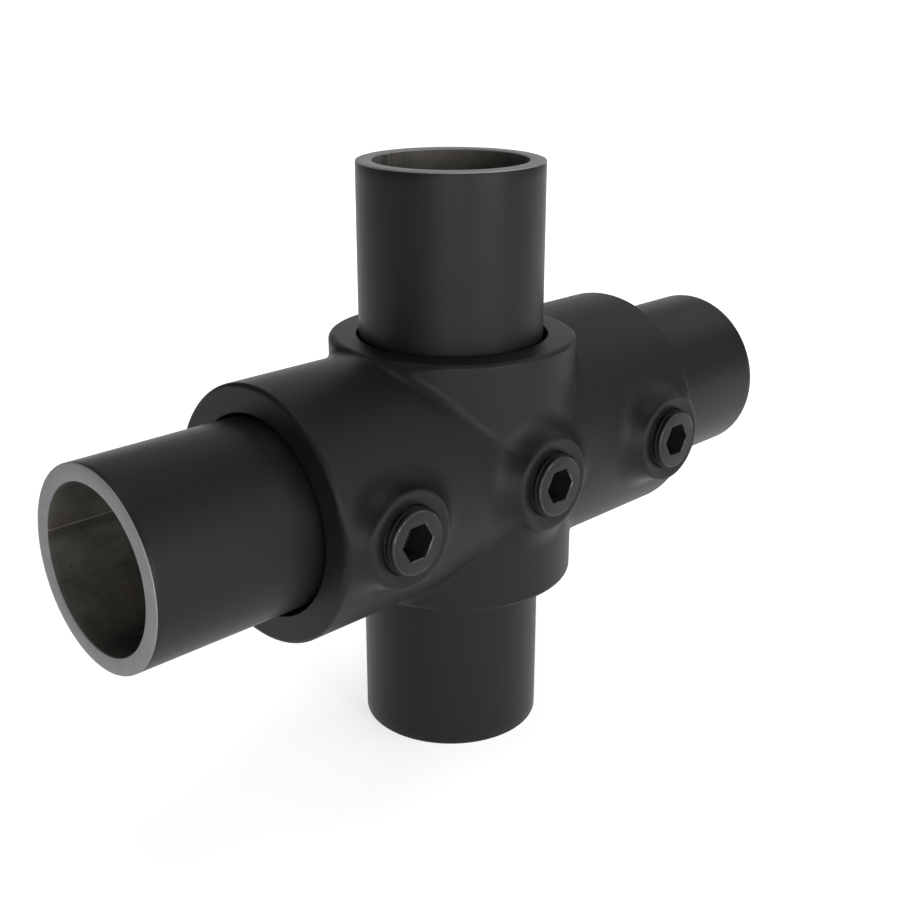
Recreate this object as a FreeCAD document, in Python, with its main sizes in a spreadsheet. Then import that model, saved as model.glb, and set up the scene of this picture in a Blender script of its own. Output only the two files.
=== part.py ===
import FreeCAD, Part
import Sketcher
import os

from math import pi
from FreeCAD import Placement, Rotation, Vector

# Two-socket cross clamp for round tube: a cast body with a sleeve for an upright and two
# blind sockets in line for side tubes, three bosses with hexagon socket set screws, and
# the three tubes that they hold.
#
# Frame, in millimetres: the origin is where the tubes' axes cross, X runs along the two
# side tubes, Z up the upright, and the set screws face -Y.

doc = FreeCAD.newDocument("cross_clamp_block")

# Driving sizes
# Each row is an alias, its value and what it measures.

SIZES = [
    ("tube_diameter", 48.3, "outside diameter of all three tubes"),
    ("tube_wall", 4.2, "wall of the tubes"),
    ("tube_edge", 0.3, "broken edges of a sawn tube end"),
    ("upright_length", 155.0, "the upright, from end to end"),
    ("side_length", 78.8, "a side tube, from its stop to its free end"),
    ("bore_play", 0.6, "radial play of a tube in its bore"),
    ("seat_gap", 0.1, "play left behind a tube, where its screw presses it to the rear"),
    ("stop_gap", 0.1, "between a side tube's end and its stop"),
    ("sleeve_wall", 7.7, "casting around the upright's bore"),
    ("arm_wall", 7.5, "casting around a socket's bore"),
    ("stop_wall", 5.3, "sleeve's wall at the foot of a socket, where a side tube stops"),
    ("sleeve_height", 66.0, "the sleeve, from top face to bottom face"),
    ("socket_depth", 35.35, "a socket, from its stop to its mouth"),
    ("sleeve_rim", 2.3, "rounding of the sleeve's outer rims"),
    ("arm_rim", 2.2, "rounding of the sockets' outer rims"),
    ("saddle_fillet", 3.5, "fillet where sleeve and sockets run into each other"),
    ("fillet_gap", 0.1, "least width left between a fillet and the rounding next to it"),
    ("mouth_edge", 0.5, "broken edge at the mouth of a bore"),
    ("screw_inset", 16.1, "from a socket's mouth to the axis of its screw"),
    ("boss_diameter", 24.2, "set screw boss"),
    ("boss_rise", 4.25, "a boss's face above the socket's outer surface"),
    ("boss_fillet", 3.3, "fillet around the foot of a boss"),
    ("boss_rim", 0.8, "rounding of a boss's outer edge"),
    ("screw_diameter", 16.66, "set screw, over the crests of its thread"),
    ("screw_play", 0.05, "radial play between a screw and the casting"),
    ("screw_length", 14.9, "set screw, from tip to outer face"),
    ("screw_edge", 0.75, "chamfer at both ends of a screw's thread"),
    ("tip_gap", 0.05, "between a screw's tip and its tube"),
    ("lead_in", 0.85, "chamfer at the mouth of a screw's hole"),
    ("key_size", 8.2, "hexagon socket, across flats"),
    ("key_depth", 7.0, "depth of the hexagon socket"),
    ("key_edge", 0.25, "broken edge around the hexagon socket"),
    ("drill_depth", 1.6, "drill point below the hexagon socket"),
    ("cup_diameter", 9.0, "mouth of the cup in a screw's tip"),
    ("cup_depth", 2.2, "depth of that cup"),
]

sizes = doc.addObject("Spreadsheet::Sheet", "Sizes")
for row, (alias, value, meaning) in enumerate(SIZES, start=1):
    sizes.set("A%d" % row, meaning)
    sizes.set("B%d" % row, str(value))
    sizes.setAlias("B%d" % row, alias)
doc.recompute()

# What follows from the sheet, as expressions

TUBE_R = "Sizes.tube_diameter / 2"
TUBE_BORE_R = "Sizes.tube_diameter / 2 - Sizes.tube_wall"
BORE_R = "Sizes.tube_diameter / 2 + Sizes.bore_play"
SLEEVE_R = BORE_R + " + Sizes.sleeve_wall"
ARM_R = BORE_R + " + Sizes.arm_wall"
STOP_R = BORE_R + " + Sizes.stop_wall"
BOSS_Y = ARM_R + " + Sizes.boss_rise"
SCREW_R = "Sizes.screw_diameter / 2"
TIP_Y = TUBE_R + " + Sizes.tip_gap"
FACE_Y = TIP_Y + " + Sizes.screw_length"
KEY_FOOT_Y = FACE_Y + " - Sizes.key_depth"
MOUTH_X = STOP_R + " + Sizes.socket_depth"
SCREW_X = MOUTH_X + " - Sizes.screw_inset"

SCREW_SIDES = (("left", -1), ("middle", 0), ("right", 1))


# Helpers for bodies, sketches and features

def new_body(label):
    body = doc.addObject("PartDesign::Body", label)
    body.Label = label
    return body


def new_sketch(body, name, plane, offset=None):
    """A sketch on one of the body's origin planes, moved along its normal by an offset."""
    sketch = body.newObject("Sketcher::SketchObject", name)
    support = next(f for f in body.Origin.OriginFeatures if f.Role == plane)
    sketch.AttachmentSupport = [(support, "")]
    sketch.MapMode = "FlatFace"
    if offset:
        sketch.setExpression("AttachmentOffset.Base.z", offset)
    return sketch


def bind(sketch, name, expression, kind, *where):
    """A named dimension of a sketch, bound to the sheet."""
    index = sketch.addConstraint(Sketcher.Constraint(kind, *where, 1.0))
    sketch.renameConstraint(index, name)
    sketch.setExpression("Constraints." + name, expression)


def draw_circle(sketch, name, radius, side=0, distance=None):
    """A circle about the sketch's origin, or at a distance to one side along its X axis."""
    rough = Part.Circle(Vector(30 * side, 0, 0), Vector(0, 0, 1), 5)
    circle = sketch.addGeometry(rough, False)
    if side == 0:
        sketch.addConstraint(Sketcher.Constraint("Coincident", circle, 3, -1, 1))
    else:
        sketch.addConstraint(Sketcher.Constraint("PointOnObject", circle, 3, -1))
        ends = (-1, 1, circle, 3) if side > 0 else (circle, 3, -1, 1)
        bind(sketch, name + "_place", distance, "DistanceX", *ends)
    bind(sketch, name, radius, "Radius", circle)


def draw_quarters(sketch, name, radius):
    """A circle about the sketch's origin in four arcs that meet on its axes."""
    rough = Part.Circle(Vector(0, 0, 0), Vector(0, 0, 1), 5)
    arcs = [sketch.addGeometry(Part.ArcOfCircle(rough, n * pi / 2, (n + 1) * pi / 2), False)
            for n in range(4)]
    for n, arc in enumerate(arcs):
        sketch.addConstraint(Sketcher.Constraint("Coincident", arc, 2, arcs[(n + 1) % 4], 1))
        sketch.addConstraint(Sketcher.Constraint("PointOnObject", arc, 1, -1 - n % 2))
    for arc in arcs[:3]:
        sketch.addConstraint(Sketcher.Constraint("Coincident", arc, 3, -1, 1))
    sketch.addConstraint(Sketcher.Constraint("Equal", arcs[0], arcs[3]))
    bind(sketch, name, radius, "Radius", arcs[0])


def draw_loop(sketch, points):
    """A closed loop of straight lines, drawn roughly: its dimensions pull it into place."""
    ends = points[1:] + points[:1]
    lines = [sketch.addGeometry(Part.LineSegment(Vector(*a, 0), Vector(*b, 0)), False)
             for a, b in zip(points, ends)]
    for line, following in zip(lines, lines[1:] + lines[:1]):
        sketch.addConstraint(Sketcher.Constraint("Coincident", line, 2, following, 1))
    return lines


def draw_half_section(sketch, corners):
    """A loop beside the sketch's Y axis. A corner is its name, its distance from that axis
    (None on the axis itself) and its depth below the X axis."""
    rough = [(1 + n, -10 - 3 * n) for n in range(len(corners))]
    for line, (name, radius, depth) in zip(draw_loop(sketch, rough), corners):
        if radius is None:
            sketch.addConstraint(Sketcher.Constraint("PointOnObject", line, 1, -2))
        else:
            bind(sketch, name + "_radius", radius, "DistanceX", -1, 1, line, 1)
        bind(sketch, name + "_depth", depth, "DistanceY", line, 1, -1, 1)


def feature(body, kind, name, sketch, bound=None, **settings):
    """A feature on a sketch, with bound properties and plain settings."""
    made = body.newObject("PartDesign::" + kind, name)
    made.Profile = sketch
    made.Refine = False
    for key, value in settings.items():
        setattr(made, key, value)
    for key, expression in (bound or {}).items():
        made.setExpression(key, expression)
    doc.recompute()
    if kind in ("Pocket", "Groove") and made.Shape.Volume > made.BaseFeature.Shape.Volume - 1:
        raise ValueError(name + " points away from its body and cuts nothing")
    return made


def dress(body, kind, name, base, picks, bound):
    """A fillet or chamfer on the edges of the base feature that the test picks."""
    made = body.newObject("PartDesign::" + kind, name)
    made.Base = (base, ["Edge%d" % n for n, edge in enumerate(base.Shape.Edges, start=1)
                        if picks(edge)])
    made.Refine = False
    for key, expression in bound.items():
        made.setExpression(key, expression)
    doc.recompute()
    return made


def is_circle(edge, axis, level, radius=None):
    """Whether an edge is an arc about an axis, at a level along it on either side."""
    if not isinstance(edge.Curve, Part.Circle) or abs(getattr(edge.Curve.Axis, axis)) < 0.999:
        return False
    return (abs(abs(getattr(edge.Curve.Center, axis)) - level) < 1e-3
            and (radius is None or abs(edge.Curve.Radius - radius) < 1e-3))


# Casting
# One malleable iron casting. Sleeve and sockets are cylinders that run into each other,
# the sleeve a little the stouter, so that the saddle between them is two closed loops. Both
# are drawn in quarters, so that no closed face has its seam in the way of the saddle.

def make_casting():
    body = new_body("clamp_casting")

    outline = new_sketch(body, "SleeveOutline", "XY_Plane")
    draw_quarters(outline, "sleeve_radius", SLEEVE_R)
    sleeve = feature(body, "Pad", "Sleeve", outline, {"Length": "Sizes.sleeve_height"},
                     Midplane=True)
    sleeve_end = sleeve.Length.Value / 2
    dress(body, "Fillet", "SleeveRims", sleeve, lambda e: is_circle(e, "z", sleeve_end),
          {"Radius": "Sizes.sleeve_rim"})

    outline = new_sketch(body, "ArmOutline", "YZ_Plane")
    draw_quarters(outline, "arm_radius", ARM_R)
    arms = feature(body, "Pad", "Arms", outline, {"Length": "2 * (%s)" % MOUTH_X},
                   Midplane=True)
    arm_end = arms.Length.Value / 2
    rims = dress(body, "Fillet", "ArmRims", arms, lambda e: is_circle(e, "x", arm_end),
                 {"Radius": "Sizes.arm_rim"})
    # On a sleeve that stands well above its sockets the fillet ends below the rim
    wall = "Sizes.sleeve_height / 2 - Sizes.sleeve_rim - (%s)" % ARM_R
    dress(body, "Fillet", "Saddle", rims,
          lambda e: isinstance(e.Curve, Part.BSplineCurve),
          {"Radius": "%s > Sizes.sleeve_rim ? min(Sizes.saddle_fillet; %s - Sizes.fillet_gap)"
                     " : Sizes.saddle_fillet" % (wall, wall)})

    # Bosses grow from the axis outward, so that each stands out of its own wall
    outline = new_sketch(body, "BossOutline", "XZ_Plane")
    for name, side in SCREW_SIDES:
        draw_circle(outline, name + "_boss", "Sizes.boss_diameter / 2",
                    side, SCREW_X)
    bosses = feature(body, "Pad", "Bosses", outline, {"Length": BOSS_Y})
    face_y = bosses.Length.Value
    boss_walls = [f for f in bosses.Shape.Faces
                  if isinstance(f.Surface, Part.Cylinder) and abs(f.Surface.Axis.y) > 0.99]

    def at_boss_foot(edge):
        on_wall = any(edge.isSame(e) for f in boss_walls for e in f.Edges)
        return on_wall and not isinstance(edge.Curve, (Part.Line, Part.Circle))

    # A foot's fillet stays clear of the socket's rounded rim and of the boss's own
    beside = "Sizes.screw_inset - Sizes.boss_diameter / 2 - Sizes.arm_rim"
    below = "%s - max(%s; %s) - Sizes.boss_rim" % (BOSS_Y, SLEEVE_R, ARM_R)
    feet = dress(body, "Fillet", "BossFeet", bosses, at_boss_foot,
                 {"Radius": "min(Sizes.boss_fillet; min(%s; %s) - Sizes.fillet_gap)"
                            % (beside, below)})
    dress(body, "Fillet", "BossRims", feet,
          lambda e: is_circle(e, "y", face_y), {"Radius": "Sizes.boss_rim"})

    # Sockets, bored in line, then the sleeve's own wall between them and its bore
    outline = new_sketch(body, "SocketBore", "YZ_Plane")
    draw_circle(outline, "socket_bore", BORE_R)
    feature(body, "Pocket", "Sockets", outline, Type="ThroughAll", Midplane=True)
    outline = new_sketch(body, "StopOutline", "XY_Plane")
    draw_circle(outline, "stop_radius", STOP_R)
    feature(body, "Pad", "StopWall", outline,
            {"Length": "Sizes.sleeve_height - 2 * Sizes.sleeve_rim"}, Midplane=True)
    outline = new_sketch(body, "SleeveBore", "XY_Plane")
    draw_circle(outline, "sleeve_bore", BORE_R)
    bored = feature(body, "Pocket", "UprightBore", outline, Type="ThroughAll", Midplane=True)

    # Mouths of the three bores
    bore = outline.getDatum("sleeve_bore").Value
    dress(body, "Chamfer", "Mouths", bored,
          lambda e: is_circle(e, "x", arm_end, bore) or is_circle(e, "z", sleeve_end, bore),
          {"Size": "Sizes.mouth_edge"})

    # Screw holes, through the front wall only
    outline = new_sketch(body, "ScrewHoleOutline", "XZ_Plane")
    for name, side in SCREW_SIDES:
        draw_circle(outline, name + "_hole", SCREW_R + " + Sizes.screw_play",
                    side, SCREW_X)
    holes = feature(body, "Pocket", "ScrewHoles", outline, Type="ThroughAll", Reversed=True)
    hole = outline.getDatum("left_hole").Value
    dress(body, "Chamfer", "LeadIns", holes,
          lambda e: is_circle(e, "y", face_y, hole),
          {"Size": "Sizes.lead_in"})

    # The screws press the tubes to the rear of their bores: the casting sits forward
    body.setExpression("Placement.Base.y", "-(Sizes.bore_play - Sizes.seat_gap)")
    return body


# Tubes
# Welded steel tube, sawn square. The upright passes through the sleeve. Each side tube
# ends against the sleeve's wall, at the foot of its socket.

def make_tube(label, plane, length, start=None, turned=0):
    body = new_body(label)
    ring = new_sketch(body, "Ring", plane, start)
    draw_circle(ring, "outer_radius", TUBE_R)
    draw_circle(ring, "inner_radius", TUBE_BORE_R)
    tube = feature(body, "Pad", "Tube", ring, {"Length": length}, Midplane=start is None)
    dress(body, "Chamfer", "SawnEdges", tube, lambda e: isinstance(e.Curve, Part.Circle),
          {"Size": "Sizes.tube_edge"})
    body.Placement = Placement(Vector(0, 0, 0), Rotation(Vector(0, 0, 1), turned))
    return body


# Set screws
# Turned and threaded steel, with a hexagon socket in the outer face and a cup in the tip.

def make_screw(label, side):
    body = new_body(label)
    half = new_sketch(body, "HalfSection", "XY_Plane")
    draw_half_section(half, [
        ("cup_apex", None, TIP_Y + " + Sizes.cup_depth"),
        ("cup_mouth", "Sizes.cup_diameter / 2", TIP_Y),
        ("tip_rim", SCREW_R + " - Sizes.screw_edge", TIP_Y),
        ("thread_start", SCREW_R, TIP_Y + " + Sizes.screw_edge"),
        ("thread_end", SCREW_R, FACE_Y + " - Sizes.screw_edge"),
        ("face_rim", SCREW_R + " - Sizes.screw_edge", FACE_Y),
        ("face_centre", None, FACE_Y),
    ])
    feature(body, "Revolution", "Shank", half, ReferenceAxis=(half, ["V_Axis"]), Angle=360)

    # Hexagon with a flat at top and bottom, its corners on a construction circle
    key = new_sketch(body, "KeyOutline", "XZ_Plane", FACE_Y)
    corner_circle = key.addGeometry(Part.Circle(Vector(0, 0, 0), Vector(0, 0, 1), 5), True)
    key.addConstraint(Sketcher.Constraint("Coincident", corner_circle, 3, -1, 1))
    bind(key, "corner_radius", "Sizes.key_size / sqrt(3)", "Radius", corner_circle)
    flats = draw_loop(key, [(2.5, 4), (-2.5, 4), (-5, 0), (-2.5, -4), (2.5, -4), (5, 0)])
    key.addConstraint(Sketcher.Constraint("Horizontal", flats[0]))
    for flat in flats:
        key.addConstraint(Sketcher.Constraint("PointOnObject", flat, 1, corner_circle))
    for flat in flats[1:]:
        key.addConstraint(Sketcher.Constraint("Equal", flats[0], flat))
    socket = feature(body, "Pocket", "KeySocket", key, {"Length": "Sizes.key_depth"})
    face_y = key.AttachmentOffset.Base.z
    dress(body, "Chamfer", "KeyEdges", socket,
          lambda e: (isinstance(e.Curve, Part.Line)
                     and all(abs(v.Point.y + face_y) < 1e-3 for v in e.Vertexes)),
          {"Size": "Sizes.key_edge"})

    point = new_sketch(body, "DrillPoint", "XY_Plane")
    draw_half_section(point, [
        ("point_edge", "Sizes.key_size / 2", KEY_FOOT_Y),
        ("point_centre", None, KEY_FOOT_Y),
        ("point_apex", None, KEY_FOOT_Y + " - Sizes.drill_depth"),
    ])
    feature(body, "Groove", "KeyFoot", point, ReferenceAxis=(point, ["V_Axis"]), Angle=360)

    body.setExpression("Placement.Base.x", "%d * (%s)" % (side, SCREW_X))
    return body


pieces = [
    make_casting(),
    make_tube("upright_tube", "XY_Plane", "Sizes.upright_length"),
    make_tube("left_tube", "YZ_Plane", "Sizes.side_length", STOP_R + " + Sizes.stop_gap", 180),
    make_tube("right_tube", "YZ_Plane", "Sizes.side_length", STOP_R + " + Sizes.stop_gap"),
]
pieces += [make_screw(name + "_screw", side) for name, side in SCREW_SIDES]
doc.recompute()

# Checks, then one file for each piece

failed = [o.Name for o in doc.Objects if "Invalid" in o.State or "Error" in o.State]
if failed:
    raise ValueError("failed objects: " + ", ".join(failed))
for piece in pieces:
    if piece.Shape.isNull() or not piece.Shape.isValid() or len(piece.Shape.Solids) != 1:
        raise ValueError(piece.Label + " is not one valid solid")

os.makedirs("parts", exist_ok=True)
for piece in pieces:
    piece.Shape.exportStep("parts/%s.step" % piece.Label)
    box = piece.Shape.BoundBox
    print("%-14s %9.0f mm3  X %.2f %.2f  Y %.2f %.2f  Z %.2f %.2f" % (
        piece.Label, piece.Shape.Volume,
        box.XMin, box.XMax, box.YMin, box.YMax, box.ZMin, box.ZMax))
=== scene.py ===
import math

import bpy
from mathutils import Matrix, Vector


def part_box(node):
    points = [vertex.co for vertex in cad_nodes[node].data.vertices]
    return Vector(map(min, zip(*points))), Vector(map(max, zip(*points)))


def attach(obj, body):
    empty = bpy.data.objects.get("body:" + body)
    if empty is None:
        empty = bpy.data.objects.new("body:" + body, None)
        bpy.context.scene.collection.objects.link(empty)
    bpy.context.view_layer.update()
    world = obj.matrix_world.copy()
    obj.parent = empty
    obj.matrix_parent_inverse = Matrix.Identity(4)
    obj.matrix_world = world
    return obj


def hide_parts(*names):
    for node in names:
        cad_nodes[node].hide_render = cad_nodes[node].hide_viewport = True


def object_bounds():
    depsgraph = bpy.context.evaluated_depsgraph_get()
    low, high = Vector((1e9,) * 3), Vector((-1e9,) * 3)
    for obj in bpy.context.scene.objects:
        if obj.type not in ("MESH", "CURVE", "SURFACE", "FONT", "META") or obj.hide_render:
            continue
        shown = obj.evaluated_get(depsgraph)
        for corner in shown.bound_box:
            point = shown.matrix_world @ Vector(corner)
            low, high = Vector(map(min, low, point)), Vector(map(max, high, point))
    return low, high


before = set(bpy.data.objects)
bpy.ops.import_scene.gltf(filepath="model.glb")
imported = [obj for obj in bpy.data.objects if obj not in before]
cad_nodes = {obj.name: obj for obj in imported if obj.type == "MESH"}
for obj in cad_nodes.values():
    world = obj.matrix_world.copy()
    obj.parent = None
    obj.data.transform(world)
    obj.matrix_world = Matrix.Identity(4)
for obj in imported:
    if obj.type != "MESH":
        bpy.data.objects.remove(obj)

cad_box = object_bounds()


# Clamp casting
# The body of the clamp is one malleable iron casting: a sleeve for the upright, two blind
# sockets in line for the side tubes and three bosses, sand cast, bored and drilled for the
# tubes and the set screws, then powder coated black.

def pick(piece):
    """Makes a piece the one that is selected and active."""
    bpy.ops.object.select_all(action="DESELECT")
    piece.select_set(True)
    bpy.context.view_layer.objects.active = piece


def linear(hex_colour):
    """An sRGB hex colour as a linear colour with its alpha."""
    channels = [int(hex_colour[n:n + 2], 16) / 255 for n in (1, 3, 5)]
    return [c / 12.92 if c <= 0.04045 else ((c + 0.055) / 1.055) ** 2.4
            for c in channels] + [1.0]


def add(tree, kind, inputs, **settings):
    """Adds a shader node. An input takes a value, or the output that feeds it."""
    node = tree.nodes.new("ShaderNode" + kind)
    for name, value in settings.items():
        setattr(node, name, value)
    for key, value in inputs.items():
        if isinstance(value, bpy.types.NodeSocket):
            tree.links.new(value, node.inputs[key])
        else:
            node.inputs[key].default_value = value
    return node


def start_material(name, **shader_values):
    """A new material with its shader's own values set, its tree and its shader."""
    material = bpy.data.materials.new(name)
    material.use_nodes = True
    shader = material.node_tree.nodes["Principled BSDF"]
    for key, value in shader_values.items():
        shader.inputs[key.replace("_", " ")].default_value = value
    return material, material.node_tree, shader


# Polyester powder coat over cast iron: near black, satin, a little cool. The coat levels
# the sand's grain to a soft texture, so that highlights break up slightly.
COAT_COLOUR = "#16181A"
COAT_ROUGHNESS = 0.47
SAND_GRAIN = 0.9e-3
COAT_WAVE = 7e-3

casting_coat, tree, shader = start_material(
    "black_powder_coat_on_cast_iron", Roughness=COAT_ROUGHNESS,
    Base_Color=linear(COAT_COLOUR), Specular_IOR_Level=0.2)
place = add(tree, "TexCoord", {}).outputs["Object"]
grain = add(tree, "TexNoise", {"Vector": place, "Scale": 1 / SAND_GRAIN, "Detail": 3.0,
                               "Roughness": 0.55})
wave = add(tree, "TexNoise", {"Vector": place, "Scale": 1 / COAT_WAVE, "Detail": 2.0})
bumped = add(tree, "Bump", {"Strength": 0.35, "Distance": 0.12e-3, "Height": wave.outputs["Fac"]})
bumped = add(tree, "Bump", {"Strength": 0.22, "Distance": 0.03e-3, "Height": grain.outputs["Fac"],
                            "Normal": bumped.outputs["Normal"]})
tree.links.new(bumped.outputs["Normal"], shader.inputs["Normal"])

# The form is the modelled one, with the corners of its facets merged
CORNERS_WITHIN = 2e-6
pick(cad_nodes["clamp_casting"])
bpy.ops.object.duplicate()
casting = bpy.context.object
casting.name = "casting"
casting.parent = None
bpy.ops.object.mode_set(mode="EDIT")
bpy.ops.mesh.select_all(action="SELECT")
bpy.ops.mesh.remove_doubles(threshold=CORNERS_WITHIN)
bpy.ops.object.mode_set(mode="OBJECT")


def select_edges(piece, wanted):
    """Opens a piece in edit mode with the edges selected whose two ends are wanted."""
    bpy.ops.object.mode_set(mode="EDIT")
    bpy.ops.mesh.select_mode(type="EDGE")
    bpy.ops.mesh.select_all(action="DESELECT")
    bpy.ops.object.mode_set(mode="OBJECT")
    points = piece.data.vertices
    for edge in piece.data.edges:
        edge.select = wanted(*(points[n].co for n in edge.vertices))
    bpy.ops.object.mode_set(mode="EDIT")


# The rims of the sleeve and the sockets are rounded less than modelled, to 1.2 mm. Where the
# sleeve's rim runs into the hollow beside the sockets, at 32 to 42 degrees from their axis,
# it goes back to the modelled one. The inner edges of the bosses' faces sink, to lie under
# the dished skins that follow. The casting's axes stand a little in front of the tubes',
# which lie against the backs of their bores, and boss faces are measured from them.
AXIS_Y = -0.5e-3
SOCKET_RADIUS = 32.25e-3
SOCKET_MOUTH = 65.4e-3
SLEEVE_RADIUS = 32.45e-3
SLEEVE_END = 33e-3
SOCKET_RIM_MODELLED = 2.2e-3
SLEEVE_RIM_MODELLED = 2.3e-3
RIM = 1.2e-3
HOLLOW_ENDS = 32
HOLLOW_FADE = 10
BOSS_SIDES = (-49.3e-3, 0.0, 49.3e-3)
BOSS_FACE_MODELLED = 36.5e-3
BOSS_FACE = 36.53e-3
BOSS_FACE_INNER = 10e-3
INNER_EDGE_DROP = 0.5e-3
BOSS_DISH = 0.6e-3
for vertex in casting.data.vertices:
    x, y, z = vertex.co.x, vertex.co.y - AXIS_Y, vertex.co.z
    for way, radius, end, rim in (
            (Vector((1, 0, 0)), SOCKET_RADIUS, SOCKET_MOUTH, SOCKET_RIM_MODELLED),
            (Vector((0, 0, 1)), SLEEVE_RADIUS, SLEEVE_END, SLEEVE_RIM_MODELLED)):
        along = Vector((x, y, z)).dot(way)
        across = Vector((x, y, z)) - along * way
        level = (abs(along) - end + rim) / rim
        reach = (across.length - radius + rim) / rim
        if min(level, reach) > -1e-3:
            # All of the shift is at the modelled rounding, and none a quarter of it away
            share = max(1 - 4 * abs(math.hypot(level, reach) - 1), 0)
            if way.z:
                off_sockets = math.degrees(math.atan2(abs(y), abs(x)))
                share *= min(max((off_sockets - HOLLOW_ENDS) / HOLLOW_FADE, 0), 1)
            shift = share * (rim - RIM)
            vertex.co += across * (shift / across.length * (1 - reach))
            vertex.co += shift * (1 - level) * math.copysign(1, along) * way
    on_boss_face = abs(y + BOSS_FACE_MODELLED) < 1e-5
    if on_boss_face and min(math.hypot(x - side, z) for side in BOSS_SIDES) < BOSS_FACE_INNER:
        vertex.co.y += INNER_EDGE_DROP

# As cast, a boss runs out into the wall in one wide hollow, as if a ball had been rolled
# round its face's edge. The skin over each boss has that foot, the dished face and the
# screw hole's mouth. It covers the modelled boss and sinks into the wall around it.
BOSS_RADIUS = 12.2e-3
BOSS_RIM = 0.9e-3
RIM_STEPS = 4
BOSS_HOLE = 8.42e-3
HOLE_WALL = 1e-3
HOLE_EDGE = 0.15e-3
FOOT_RADIUS = 9e-3
FOOT_STEPS = 16
SKIN_SIDES = 360
BALL_STEPS = 40
CORNER_BLEND = 1.5e-3
BEYOND_FOOT = 9e-3
BEYOND_STEPS = 18
SINK_START = 6.5e-3
SINK_DEPTH = 0.06e-3
SKIN_LIFT = 0.012e-3
SHORT_OF_MOUTH = 0.02e-3
FOLD_REACH = 2e-3
RAY_START = -60e-3
CAST_SMOOTHING = math.radians(28)
# What is left of the dish's depth at two shares of the way from the hole to the rim
DISH_PROFILE = ((0.35, 0.65), (0.75, 0.23))
front = Vector((0, -1, 0))


def boss_section(side, turn):
    """The section of a boss's skin in one direction from its axis, from the hole outward."""
    outward = Vector((math.cos(turn), 0, math.sin(turn)))
    axis = Vector((side, 0, 0))
    edge = axis + BOSS_RADIUS * outward + BOSS_FACE * front

    def off_walls(point):
        """The ball's gaps to the socket and to the sleeve, with its centre at the point."""
        return (Vector((0, point.y, point.z)).length - SOCKET_RADIUS - FOOT_RADIUS,
                Vector((point.x, point.y, 0)).length - SLEEVE_RADIUS - FOOT_RADIUS)

    # The ball touches the face's edge and rests on the socket or the sleeve. Its tilt round
    # the edge is found by halving, and in the corner between the two walls it rests on both.
    high, low = math.radians(85), math.radians(-80)
    for step in range(BALL_STEPS):
        tilt = (high + low) / 2
        ball = edge + FOOT_RADIUS * (math.cos(tilt) * outward + math.sin(tilt) * front)
        high, low = (tilt, low) if min(off_walls(ball)) > 0 else (high, tilt)
    weights = [1 / (abs(off) + CORNER_BLEND) ** 2 for off in off_walls(ball)]
    rest = -(weights[0] * Vector((0, ball.y, ball.z)).normalized()
             + weights[1] * Vector((ball.x, ball.y, 0)).normalized()).normalized()
    start = (edge - ball).normalized()
    sweep = start.angle(rest)

    def on_ball(share):
        """A point of the ball's surface between the face's edge, at 0, and the wall, at 1."""
        return ball + FOOT_RADIUS * (math.sin((1 - share) * sweep) * start
                                     + math.sin(share * sweep) * rest) / math.sin(sweep)

    # The hole's wall, its broken edge and the dished face
    crest = BOSS_RADIUS - BOSS_RIM
    floor_of_dish = BOSS_FACE - BOSS_DISH
    rings = [(BOSS_HOLE, floor_of_dish - HOLE_WALL), (BOSS_HOLE, floor_of_dish - HOLE_EDGE),
             (BOSS_HOLE + HOLE_EDGE, floor_of_dish)]
    for way_out, depth_left in DISH_PROFILE:
        rings.append((BOSS_HOLE + (crest - BOSS_HOLE) * way_out,
                      BOSS_FACE - BOSS_DISH * depth_left))
    points = [axis + radius * outward + height * front for radius, height in rings]

    # The rounded rim and the foot
    after_rim = BOSS_RIM / FOOT_RADIUS / sweep
    bend = (axis + crest * outward + BOSS_FACE * front, edge, on_ball(after_rim))
    for step in range(RIM_STEPS):
        share = step / RIM_STEPS
        points.append((1 - share) ** 2 * bend[0] + 2 * share * (1 - share) * bend[1]
                      + share ** 2 * bend[2])
    for step in range(FOOT_STEPS + 1):
        points.append(on_ball(after_rim + (1 - after_rim) * step / FOOT_STEPS))

    def wall_height(point):
        """The wall's height there: the socket's own, or by a ray where the sleeve crosses it."""
        if side:
            return math.sqrt(max(SOCKET_RADIUS ** 2 - point.z ** 2, 0))
        return AXIS_Y - casting.ray_cast((point.x, RAY_START, point.z), (0, 1, 0))[1].y

    # Beyond the foot the skin follows the wall and sinks into it
    foot = points[-1]
    lift = max(-foot.y - wall_height(foot), 0)
    for step in range(1, BEYOND_STEPS + 1):
        beyond = BEYOND_FOOT * step / BEYOND_STEPS
        share = max(1 - (beyond / SINK_START) ** 2, 0) ** 2
        point = foot + beyond * outward
        sunk = max(beyond - SINK_START, 0) / (BEYOND_FOOT - SINK_START) * SINK_DEPTH
        height = wall_height(point) + share * lift - sunk
        points.append(Vector((point.x, -height, point.z)))

    # Near the socket's mouth it is wrapped over the socket's rim
    for point in points[2:]:
        point.y -= SKIN_LIFT
        over = abs(point.x) - SOCKET_MOUTH + RIM
        if side and over > 0:
            lean = min(over / RIM, math.pi / 2)
            past_rim = min(max(over - RIM * math.pi / 2, 0), FOLD_REACH)
            drop = RIM * (1 - math.cos(lean)) + past_rim
            reach = SOCKET_MOUTH - RIM + (RIM - SHORT_OF_MOUTH) * math.sin(lean)
            point.x = math.copysign(reach, point.x)
            across = Vector((0, point.y, point.z))
            across *= 1 - drop / across.length
            point.y, point.z = across.y, across.z
    return [point + Vector((0, AXIS_Y, 0)) for point in points]


def apply_modifier(piece, kind, **settings):
    """Gives a piece a modifier, sets it up and applies it."""
    pick(piece)
    bpy.ops.object.modifier_add(type=kind)
    modifier = piece.modifiers[-1]
    for name, value in settings.items():
        setattr(modifier, name, value)
    bpy.ops.object.modifier_apply(modifier=modifier.name)


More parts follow.
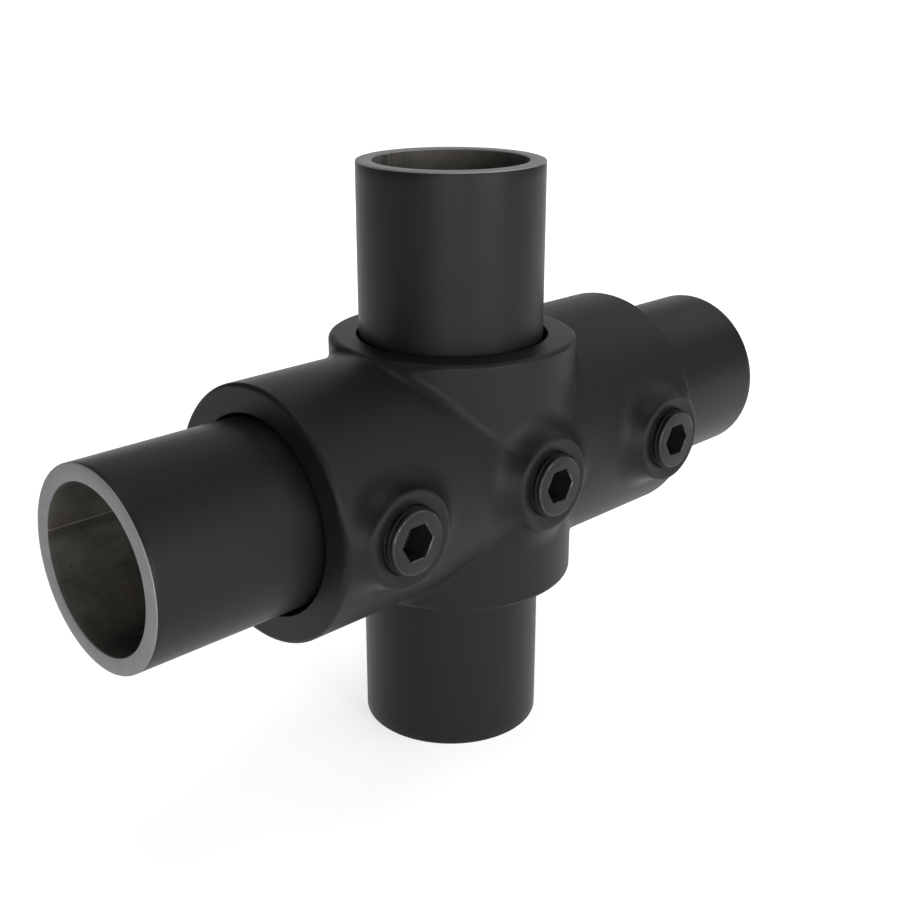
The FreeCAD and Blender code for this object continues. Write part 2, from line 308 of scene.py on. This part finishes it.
def smooth_normals(piece):
    """Shades a piece smooth between its sharp edges, its large faces first."""
    pick(piece)
    bpy.ops.object.shade_smooth_by_angle(angle=CAST_SMOOTHING)
    apply_modifier(piece, "WEIGHTED_NORMAL", keep_sharp=True)


def give_materials(piece, *materials):
    """Gives a piece these materials in place of its own."""
    piece.data.materials.clear()
    for material in materials:
        piece.data.materials.append(material)


smooth_normals(casting)
skins = []
for side in BOSS_SIDES:
    # It starts as a cylinder with a ring of vertices for each point of the section
    rows = len(boss_section(side, 0))
    bpy.ops.object.select_all(action="DESELECT")
    bpy.ops.mesh.primitive_cylinder_add(vertices=SKIN_SIDES, radius=0.01, depth=rows - 1,
                                        end_fill_type="NOTHING")
    skin = bpy.context.object
    select_edges(skin, lambda a, b: abs(a.z - b.z) > 1)
    bpy.ops.mesh.subdivide(number_cuts=rows - 2)
    bpy.ops.object.mode_set(mode="OBJECT")
    sections = {}
    outer_part = skin.vertex_groups.new(name="beyond_the_foot")
    for vertex in skin.data.vertices:
        turn = round(math.atan2(vertex.co.y, vertex.co.x) / math.tau * SKIN_SIDES)
        if turn not in sections:
            sections[turn] = boss_section(side, math.tau * turn / SKIN_SIDES)
        row = round(vertex.co.z + (rows - 1) / 2)
        vertex.co = sections[turn][row]
        steps_out = row - (rows - 1 - BEYOND_STEPS)
        weight = min(max(steps_out * 2 / BEYOND_STEPS, 0), 1)
        outer_part.add([vertex.index], weight, "REPLACE")
    if sum(face.normal.y * face.area for face in skin.data.polygons) > 0:
        skin.data.flip_normals()
    smooth_normals(skin)
    # Its outer part takes over the wall's own shading, so that no edge shows
    apply_modifier(skin, "DATA_TRANSFER", object=casting, use_loop_data=True,
                   data_types_loops={"CUSTOM_NORMAL"}, loop_mapping="POLYINTERP_NEAREST",
                   vertex_group="beyond_the_foot")
    skins.append(skin)
pick(casting)
for skin in skins:
    skin.select_set(True)
bpy.ops.object.join()
give_materials(casting, casting_coat)
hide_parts("clamp_casting")
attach(casting, "casting")


# Tubes
# Three lengths of 48.3 mm steel tube, rolled from strip and welded along one side, coated
# black outside and then sawn to length, so that their end faces are bare. The bore keeps
# its mill scale and the flattened bead of the weld.

TUBE_RADIUS = 24.15e-3
TUBE_WALL = 4.2e-3
TUBE_EDGE = 0.3e-3
TUBE_SIDES = 240
TUBE_RINGS = 44
BEAD_HEIGHT = 0.2e-3
BEAD_REACH = 0.9e-3
# The bead's waves along the tube: each one's share of the height, and its radians a metre
BEAD_WAVES = ((0.25, 900), (0.2, 2300))
# Where the weld lies around each tube
UPRIGHT_WELD = math.radians(99.9)
LEFT_WELD = math.radians(80.5)
RIGHT_WELD = math.radians(150)
TURNED_SMOOTHING = math.radians(35)

# Black enamel on steel: satin, with the tube's faint rolling lines showing through
ENAMEL_COLOUR = "#16181A"
ENAMEL_ROUGHNESS = 0.44
ROLL_LINE = 1.2e-3
ENAMEL_WAVE = 6e-3

tube_enamel, tree, shader = start_material(
    "black_enamel_on_steel_tube", Base_Color=linear(ENAMEL_COLOUR), Specular_IOR_Level=0.2)
rolled = add(tree, "Attribute", {}, attribute_name="rolled").outputs["Vector"]
lines = add(tree, "Mapping", {"Vector": rolled, "Scale": (1.0, 1.0, 0.05)})
lines = add(tree, "TexNoise", {"Vector": lines.outputs["Vector"], "Scale": 1 / ROLL_LINE,
                               "Detail": 3.0})
rough = add(tree, "MapRange", {"Value": lines.outputs["Fac"], "From Min": 0.3, "From Max": 0.7,
                               "To Min": ENAMEL_ROUGHNESS - 0.02,
                               "To Max": ENAMEL_ROUGHNESS + 0.02})
tree.links.new(rough.outputs["Result"], shader.inputs["Roughness"])
wave = add(tree, "TexNoise", {"Vector": rolled, "Scale": 1 / ENAMEL_WAVE, "Detail": 2.0})
bumped = add(tree, "Bump", {"Strength": 0.15, "Distance": 0.06e-3, "Height": wave.outputs["Fac"]})
bumped = add(tree, "Bump", {"Strength": 0.1, "Distance": 0.02e-3, "Height": lines.outputs["Fac"],
                            "Normal": bumped.outputs["Normal"]})
tree.links.new(bumped.outputs["Normal"], shader.inputs["Normal"])

# Sawn mild steel: bare and matt, with the blade's fine parallel marks and a faint bloom
SAWN_LIGHT = "#8A8C8E"
SAWN_DARK = "#828486"
SAW_MARK = 0.35e-3
SAWN_BLOOM = 3e-3

sawn_steel, tree, shader = start_material("sawn_mild_steel", Metallic=0.4, Roughness=0.55)
rolled = add(tree, "Attribute", {}, attribute_name="rolled").outputs["Vector"]
marks = add(tree, "Mapping", {"Vector": rolled, "Rotation": (0, 0, math.radians(35)),
                              "Scale": (1.0, 0.04, 1.0)})
marks = add(tree, "TexNoise", {"Vector": marks.outputs["Vector"], "Scale": 1 / SAW_MARK,
                               "Detail": 2.0})
bloom = add(tree, "TexNoise", {"Vector": rolled, "Scale": 1 / SAWN_BLOOM, "Detail": 3.0})
both = add(tree, "Math", {0: marks.outputs["Fac"], 1: bloom.outputs["Fac"]}, operation="ADD")
both = add(tree, "Math", {0: both.outputs[0], 1: 0.5}, operation="MULTIPLY")
tone = add(tree, "ValToRGB", {"Fac": both.outputs[0]})
tone.color_ramp.elements[0].color = linear(SAWN_DARK)
tone.color_ramp.elements[0].position = 0.38
tone.color_ramp.elements[1].color = linear(SAWN_LIGHT)
tone.color_ramp.elements[1].position = 0.62
tree.links.new(tone.outputs["Color"], shader.inputs["Base Color"])
bumped = add(tree, "Bump", {"Strength": 0.12, "Distance": 0.03e-3, "Height": marks.outputs["Fac"]})
tree.links.new(bumped.outputs["Normal"], shader.inputs["Normal"])

# Mill scale in the bore: grey brown oxide, matt, with blotches, roll marks along the tube
# and dark specks. The weld shows as a thin paler line of scarfed steel, dark beside it
# where the heat was.
SCALE_LIGHT = "#57564F"
SCALE_DARK = "#2B2926"
SCALE_RUST = "#4A3A30"
WELD_STEEL = "#A3A29A"
WELD_HEAT = "#26251F"
BLOTCH = 9e-3
RUST_PATCH = 14e-3
ROLL_MARK = 0.8e-3
SPECK_SPACING = 5e-3
WANDER_LENGTH = 2.5e-3
WANDER_REACH = 0.25e-3

mill_scale, tree, shader = start_material("mill_scale_on_steel", Roughness=0.6)
rolled = add(tree, "Attribute", {}, attribute_name="rolled").outputs["Vector"]
blotches = add(tree, "TexNoise", {"Vector": rolled, "Scale": 1 / BLOTCH, "Detail": 5.0,
                                  "Roughness": 0.6})
lines = add(tree, "Mapping", {"Vector": rolled, "Scale": (1.0, 1.0, 0.08)})
lines = add(tree, "TexNoise", {"Vector": lines.outputs["Vector"], "Scale": 1 / ROLL_MARK,
                               "Detail": 4.0})
mixed = add(tree, "Mix", {0: 0.15, 2: blotches.outputs["Fac"], 3: lines.outputs["Fac"]})
tone = add(tree, "ValToRGB", {"Fac": mixed.outputs[0]})
tone.color_ramp.elements[0].color = linear(SCALE_DARK)
tone.color_ramp.elements[0].position = 0.28
tone.color_ramp.elements[1].color = linear(SCALE_LIGHT)
tone.color_ramp.elements[1].position = 0.7
rust = add(tree, "TexNoise", {"Vector": rolled, "Scale": 1 / RUST_PATCH, "Detail": 3.0,
                              "Distortion": 0.6})
rust = add(tree, "MapRange", {"Value": rust.outputs["Fac"], "From Min": 0.56, "From Max": 0.7,
                              "To Max": 0.7})
colour = add(tree, "Mix", {0: rust.outputs["Result"], 6: tone.outputs["Color"],
                           7: linear(SCALE_RUST)}, data_type="RGBA")
cells = add(tree, "TexVoronoi", {"Vector": rolled, "Scale": 1 / SPECK_SPACING})
specks = add(tree, "MapRange", {"Value": cells.outputs["Distance"], "From Min": 0.03,
                                "From Max": 0.09, "To Min": 0.85, "To Max": 0.0})
colour = add(tree, "Mix", {0: specks.outputs["Result"], 6: colour.outputs[2],
                           7: linear(WELD_HEAT)}, data_type="RGBA")
parts = add(tree, "SeparateXYZ", {0: rolled})
weld_side = add(tree, "Math", {0: parts.outputs["X"], 1: 0.0}, operation="GREATER_THAN")
wander = add(tree, "TexNoise", {"Vector": rolled, "Scale": 1 / WANDER_LENGTH, "Detail": 2.0})
wander = add(tree, "MapRange", {"Value": wander.outputs["Fac"], "To Min": -WANDER_REACH,
                                "To Max": WANDER_REACH})
aside = add(tree, "Math", {0: parts.outputs["Y"], 1: wander.outputs["Result"]},
            operation="ADD")
# Each band has its offset from the weld, its half width, its blur, colour and strength
for offset, reach, blur, shade, strength in (
        (1.2e-3, 0.9e-3, 1.4e-3, WELD_HEAT, 0.6), (0.0, 0.12e-3, 0.12e-3, WELD_STEEL, 0.3)):
    off = add(tree, "Math", {0: aside.outputs[0], 1: offset}, operation="SUBTRACT")
    off = add(tree, "Math", {0: off.outputs[0]}, operation="ABSOLUTE")
    off = add(tree, "MapRange", {"Value": off.outputs[0], "From Min": reach,
                                 "From Max": reach + blur, "To Min": strength, "To Max": 0.0})
    off = add(tree, "Math", {0: off.outputs["Result"], 1: weld_side.outputs[0]},
              operation="MULTIPLY")
    colour = add(tree, "Mix", {0: off.outputs[0], 6: colour.outputs[2], 7: linear(shade)},
                 data_type="RGBA")
tree.links.new(colour.outputs[2], shader.inputs["Base Color"])
bumped = add(tree, "Bump", {"Strength": 0.4, "Distance": 0.08e-3, "Height": mixed.outputs[0]})
tree.links.new(bumped.outputs["Normal"], shader.inputs["Normal"])


def make_tube(name, node, body, turn):
    """A tube as long as its modelled node. It is made upright with its weld at +X, and
    then turned into place."""
    low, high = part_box(node)
    length = max(high - low)
    bpy.ops.mesh.primitive_cylinder_add(
        vertices=TUBE_SIDES, radius=TUBE_RADIUS, depth=length, end_fill_type="NOTHING")
    tube = bpy.context.object
    tube.name = name
    select_edges(tube, lambda a, b: abs(a.z - b.z) > 1e-3)
    bpy.ops.mesh.subdivide(number_cuts=TUBE_RINGS)
    bpy.ops.object.mode_set(mode="OBJECT")
    apply_modifier(tube, "SOLIDIFY", thickness=TUBE_WALL, offset=-1)

    # The sawn edges are broken
    select_edges(tube, lambda a, b: min(abs(a.z), abs(b.z)) > length / 2 - 1e-6
                 and abs(a.xy.length - b.xy.length) < 1e-6)
    bpy.ops.mesh.bevel(offset=TUBE_EDGE, segments=2)
    bpy.ops.object.mode_set(mode="OBJECT")

    # The weld's bead stands in from the bore
    bore = TUBE_RADIUS - TUBE_WALL
    for vertex in tube.data.vertices:
        off = abs(vertex.co.y) if vertex.co.x > 0 else bore
        if vertex.co.xy.length < bore + 0.1e-3 and off < BEAD_REACH:
            uneven = 1 + sum(share * math.sin(vertex.co.z * pace) for share, pace in BEAD_WAVES)
            rise = BEAD_HEIGHT * uneven * (1 - (off / BEAD_REACH) ** 2) ** 2
            vertex.co.xy *= 1 - rise / bore

    # Enamel outside, bare steel at the ends and scale in the bore
    give_materials(tube, tube_enamel, sawn_steel, mill_scale)
    for face in tube.data.polygons:
        if abs(face.normal.z) > 0.3:
            face.material_index = 1
        elif face.normal.xy.dot(face.center.xy) < 0:
            face.material_index = 2

    # The tube's own place before it is turned: rolling and sawing leave their marks by it
    rolled = tube.data.attributes.new("rolled", "FLOAT_VECTOR", "POINT")
    for point, vertex in zip(rolled.data, tube.data.vertices):
        point.vector = vertex.co
    tube.data.transform(Matrix.Translation((low + high) / 2) @ turn)
    bpy.ops.object.shade_smooth_by_angle(angle=TURNED_SMOOTHING)
    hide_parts(node)
    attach(tube, body)


make_tube("upright", "upright_tube", "upright", Matrix.Rotation(UPRIGHT_WELD, 4, "Z"))
make_tube("left_side_tube", "left_tube", "left_tube",
          Matrix.Rotation(math.radians(-90), 4, "Y") @ Matrix.Rotation(LEFT_WELD, 4, "Z"))
make_tube("right_side_tube", "right_tube", "right_tube",
          Matrix.Rotation(math.radians(90), 4, "Y") @ Matrix.Rotation(RIGHT_WELD, 4, "Z"))


# Set screws
# Three hexagon socket set screws, turned from steel bar with a rolled pipe thread and
# blackened in hot oxide. The thread is a helix of 19 turns to the inch.

SCREW_RADIUS = 8.33e-3
SCREW_CHAMFER = 0.75e-3
THREAD_PITCH = 1.337e-3
THREAD_DEPTH = 0.856e-3
CREST_WIDENING = 1.3
SCREW_SIDES = 120
SCREW_RINGS = 150
KEY_ACROSS_FLATS = 8.2e-3
KEY_EDGE = 0.25e-3
KEY_DEPTH = 7e-3
DRILL_DEPTH = 1.6e-3
DRILL_OVERLAP = 0.4e-3
CUP_RADIUS = 4.5e-3
CUP_DEPTH = 2.2e-3
FACE_EDGE = 0.12e-3
OXIDE_COLOUR = "#1D1F20"
# Lighter worn steel, which also serves as painted glints on the screws' edges
WORN_GLINT_COLOUR = "#5E6062"
# Painted shade for the thread, deep in the boss's hole
THREAD_SHADE_COLOUR = "#0E0F10"
OXIDE_GRAIN = 0.8e-3
WORN_GLINT_PATCH = 1.6e-3

black_oxide, tree, shader = start_material(
    "black_oxide_on_steel", Roughness=0.4, Base_Color=linear(OXIDE_COLOUR),
    Specular_IOR_Level=0.22)
place = add(tree, "TexCoord", {}).outputs["Object"]
grain = add(tree, "TexNoise", {"Vector": place, "Scale": 1 / OXIDE_GRAIN, "Detail": 3.0})
bumped = add(tree, "Bump", {"Strength": 0.15, "Distance": 0.03e-3, "Height": grain.outputs["Fac"]})
tree.links.new(bumped.outputs["Normal"], shader.inputs["Normal"])

# The thread is painted darker and duller than the face: painted shade for the hole it stands in
shaded_thread = start_material("thread_painted_shade_on_steel", Roughness=0.5,
                              Base_Color=linear(THREAD_SHADE_COLOUR), Specular_IOR_Level=0.14)[0]

# Where keys rub, the oxide is gone from the sharp edges in patches. These lighter patches are also
# painted glints: painted highlights on the hexagon's flare and on the face's broken edge
worn_edge_and_glint, tree, shader = start_material("worn_steel_edge_and_painted_glint", Roughness=0.45)
place = add(tree, "TexCoord", {}).outputs["Object"]
patches = add(tree, "TexNoise", {"Vector": place, "Scale": 1 / WORN_GLINT_PATCH, "Detail": 2.0})
bare_and_glint = add(tree, "MapRange", {"Value": patches.outputs["Fac"], "From Min": 0.5, "From Max": 0.62})
colour = add(tree, "Mix", {0: bare_and_glint.outputs["Result"], 6: linear(OXIDE_COLOUR),
                           7: linear(WORN_GLINT_COLOUR)}, data_type="RGBA")
tree.links.new(colour.outputs[2], shader.inputs["Base Color"])
tree.links.new(bare_and_glint.outputs["Result"], shader.inputs["Metallic"])

# The thread is cut into a ringed cylinder, and the outer face's edge is broken
low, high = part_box("middle_screw")
screw_length = high.y - low.y
bpy.ops.mesh.primitive_cylinder_add(
    vertices=SCREW_SIDES, radius=SCREW_RADIUS, depth=screw_length, end_fill_type="NGON")
blank = bpy.context.object
select_edges(blank, lambda a, b: abs(a.z - b.z) > 1e-3)
bpy.ops.mesh.subdivide(number_cuts=SCREW_RINGS)
bpy.ops.object.mode_set(mode="OBJECT")
for vertex in blank.data.vertices:
    turn = math.atan2(vertex.co.y, vertex.co.x) / math.tau
    groove = 0.5 - 0.5 * math.cos(math.tau * (vertex.co.z / THREAD_PITCH - turn))
    from_end = screw_length / 2 - abs(vertex.co.z)
    radius = min(SCREW_RADIUS - THREAD_DEPTH * groove ** CREST_WIDENING,
                 SCREW_RADIUS - SCREW_CHAMFER + from_end)
    vertex.co.xy *= radius / vertex.co.xy.length
select_edges(blank, lambda a, b: min(a.z, b.z) > screw_length / 2 - 1e-6)
bpy.ops.mesh.bevel(offset=FACE_EDGE, segments=1)
bpy.ops.object.mode_set(mode="OBJECT")

# The hexagon socket with its flared edge and drill point is cut from the outer end, at +Z
# for now, and the cup from the tip
bpy.ops.mesh.primitive_cylinder_add(
    vertices=6, radius=KEY_ACROSS_FLATS / math.sqrt(3), depth=2 * KEY_DEPTH,
    location=(0, 0, screw_length / 2), rotation=(0, 0, math.radians(90)))
key = bpy.context.object
bpy.ops.mesh.primitive_cone_add(
    vertices=6, radius1=(KEY_ACROSS_FLATS - 2 * KEY_EDGE) / math.sqrt(3),
    radius2=(KEY_ACROSS_FLATS + 6 * KEY_EDGE) / math.sqrt(3), depth=4 * KEY_EDGE,
    location=(0, 0, screw_length / 2), rotation=(0, 0, math.radians(90)))
flare = bpy.context.object
bpy.ops.mesh.primitive_cone_add(
    vertices=48, radius1=0, radius2=KEY_ACROSS_FLATS / 2, depth=DRILL_DEPTH + DRILL_OVERLAP,
    location=(0, 0, screw_length / 2 - KEY_DEPTH - DRILL_DEPTH / 2 + DRILL_OVERLAP / 2))
drill = bpy.context.object
bpy.ops.mesh.primitive_cone_add(
    vertices=48, radius1=CUP_RADIUS, radius2=0, depth=CUP_DEPTH,
    location=(0, 0, (CUP_DEPTH - screw_length) / 2))
cup = bpy.context.object
for tool in (key, flare, drill, cup):
    apply_modifier(blank, "BOOLEAN", operation="DIFFERENCE", object=tool, solver="EXACT")
    bpy.data.objects.remove(tool)

# The slanting faces around the face and the hexagon are worn and carry painted glints, and the
# thread is in painted shade
give_materials(blank, black_oxide, worn_edge_and_glint, shaded_thread)
for face in blank.data.polygons:
    near_end = face.center.z > screw_length / 2 - 1.2 * KEY_EDGE
    on_chamfer = face.center.xy.length > SCREW_RADIUS - SCREW_CHAMFER + FACE_EDGE / 2
    # Wear with painted glints on the hexagon's flare and the face's broken edge
    if near_end and 0.3 < face.normal.z < 0.99 and not on_chamfer:
        face.material_index = 1
    # The thread, in painted shade
    elif face.center.xy.length > SCREW_RADIUS - THREAD_DEPTH and not near_end:
        face.material_index = 2

for node in ("left_screw", "middle_screw", "right_screw"):
    low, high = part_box(node)
    pick(blank)
    bpy.ops.object.duplicate()
    screw = bpy.context.object
    screw.name = "set_" + node
    screw.data.transform(Matrix.Translation((low + high) / 2)
                         @ Matrix.Rotation(math.radians(90), 4, "X"))
    bpy.ops.object.shade_smooth_by_angle(angle=TURNED_SMOOTHING)
    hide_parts(node)
    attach(screw, node)
bpy.data.objects.remove(blank)


# Floor, background, lamps and camera
# The clamp stands on the foot of its upright, on a plain white sweep under soft light. The
# sweep glows a little for all but diffuse rays, so that it is seen as white. Near the clamp,
# where the shadow falls, it glows less.

FLOOR_WHITE = "#F4F4F4"
FLOOR_RADIUS = 16
FLOOR_DROP = 0.05e-3
GLOW_NEAR = 0.66
GLOW_FAR = 1.0
GLOW_START = 0.2
GLOW_END = 1.6

bpy.ops.mesh.primitive_circle_add(vertices=96, radius=FLOOR_RADIUS, fill_type="NGON",
                                  location=(0, 0, cad_box[0][2] - FLOOR_DROP))
floor = bpy.context.object
floor.name = "floor"
bpy.ops.object.transform_apply(location=True, rotation=True, scale=True)
floor_paint, tree, shader = start_material(
    "white_floor", Roughness=0.9, Base_Color=linear(FLOOR_WHITE))
place = add(tree, "TexCoord", {}).outputs["Object"]
away = add(tree, "VectorMath", {0: place}, operation="LENGTH")
glow = add(tree, "MapRange", {"Value": away.outputs["Value"], "From Min": GLOW_START,
                              "From Max": GLOW_END, "To Min": GLOW_NEAR, "To Max": GLOW_FAR})
rays = add(tree, "LightPath", {})
seen = add(tree, "Math", {0: rays.outputs["Is Camera Ray"], 1: rays.outputs["Is Glossy Ray"]},
           operation="MAXIMUM")
seen = add(tree, "Math", {0: seen.outputs[0], 1: rays.outputs["Is Transmission Ray"]},
           operation="MAXIMUM")
glow = add(tree, "Math", {0: glow.outputs["Result"], 1: seen.outputs[0]}, operation="MULTIPLY")
tree.links.new(glow.outputs[0], shader.inputs["Emission Strength"])
shader.inputs["Emission Color"].default_value = (1, 1, 1, 1)
floor.data.materials.append(floor_paint)

WORLD_LEVEL = 0.1
world = bpy.data.worlds.new("studio")
bpy.context.scene.world = world
world.use_nodes = True
background = world.node_tree.nodes["Background"]
background.inputs["Color"].default_value = (1, 1, 1, 1)
# Above the horizon the camera sees the sweep's white, and the object a dim studio
rays = add(world.node_tree, "LightPath", {})
level = add(world.node_tree, "MapRange", {"Value": rays.outputs["Is Camera Ray"],
                                          "To Min": WORLD_LEVEL, "To Max": 1.0})
world.node_tree.links.new(level.outputs["Result"], background.inputs["Strength"])

# Soft round lamps, all equally far away. Each has its turn from +X and its rise above the
# floor in degrees, and its power in watts.
LAMP_AWAY = 1.2
LAMP_ACROSS = 0.7
for name, turn, rise, power in (
        ("low_key", -90, 6, 6.7), ("low_left", -135, 6, 5.9), ("front_key", -60, 22, 1.7),
        ("high_front", -45, 40, 1.2), ("overhead", 0, 90, 2.6), ("top_right", 0, 40, 1.4),
        ("top_back", 45, 40, 1.0), ("back_right", 30, 6, 1.0), ("back", 60, 6, 1.3)):
    turn, rise = math.radians(turn), math.radians(rise)
    place = LAMP_AWAY * Vector((math.cos(turn) * math.cos(rise),
                                math.sin(turn) * math.cos(rise), math.sin(rise)))
    bpy.ops.object.light_add(type="AREA", location=place)
    lamp = bpy.context.object
    lamp.name = name
    lamp.data.shape = "DISK"
    lamp.data.size = LAMP_ACROSS
    lamp.data.energy = power
    lamp.rotation_euler = (-place).to_track_quat("-Z", "Y").to_euler()

# The photo's camera, solved from the outlines of tubes and casting
CAMERA_TURN = math.radians(-44.91)
CAMERA_RISE = math.radians(20.09)
CAMERA_AWAY = 0.35436
CAMERA_LENS = 52.225
AIM_ASIDE = -0.214e-3
AIM_UP = -0.361e-3
bpy.ops.object.camera_add()
camera = bpy.context.object
camera.name = "photo_camera"
camera.data.sensor_width = 36
camera.data.lens = CAMERA_LENS
camera.data.clip_start = 0.01
away = Vector((math.sin(CAMERA_TURN) * math.cos(CAMERA_RISE),
               -math.cos(CAMERA_TURN) * math.cos(CAMERA_RISE), math.sin(CAMERA_RISE)))
aside = Vector((math.cos(CAMERA_TURN), math.sin(CAMERA_TURN), 0))
aim = AIM_ASIDE * aside + Vector((0, 0, AIM_UP))
camera.location = aim + CAMERA_AWAY * away
camera.rotation_euler = (-away).to_track_quat("-Z", "Y").to_euler()
bpy.context.scene.camera = camera
bpy.context.scene.view_settings.view_transform = "Standard"
